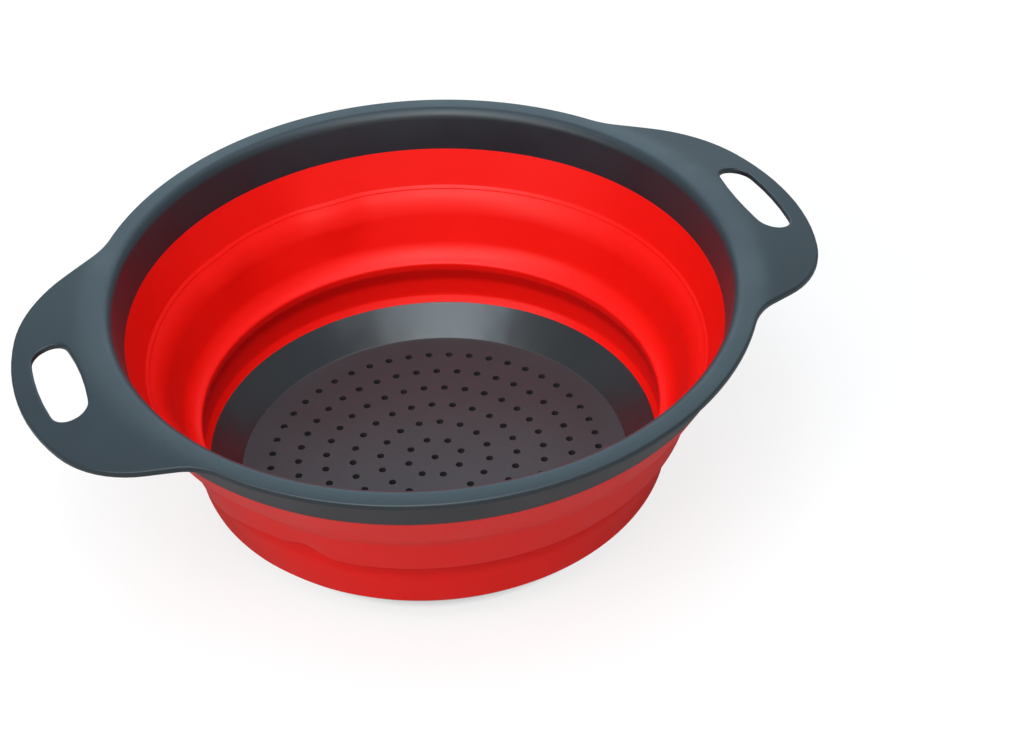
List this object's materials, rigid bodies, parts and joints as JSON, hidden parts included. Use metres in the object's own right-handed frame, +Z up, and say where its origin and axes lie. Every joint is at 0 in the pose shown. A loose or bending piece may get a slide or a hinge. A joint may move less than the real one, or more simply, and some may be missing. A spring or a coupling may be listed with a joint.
{
  "type": "collapsible colander",
  "caption": "Round collapsible colander: rigid rim with two slotted handles, folding silicone wall and a perforated base.",
  "frame": {"origin": "centre of the foot, on the surface that the colander stands on", "axes": "+Z up along the bowl's axis, X through both handles"},
  "size_m": [0.2954, 0.24, 0.09],
  "materials": {
    "rim_plastic": "satin slate grey",
    "silicone": "matte red silicone",
    "base_plastic": "satin dark grey"
  },
  "bodies": {
    "base": {"strainer_base": "base_plastic", "silicone_lower_band": "silicone", "silicone_fold_wall": "silicone"},
    "rim": {"rim_frame": "rim_plastic", "silicone_upper_band": "silicone"}
  },
  "joints": [
    {"name": "bowl_collapse", "type": "slide", "parent": "base", "child": "rim", "axis": [0, 0, -1], "range_m": [0, 0.044], "deforming": ["silicone_fold_wall"]}
  ]
}
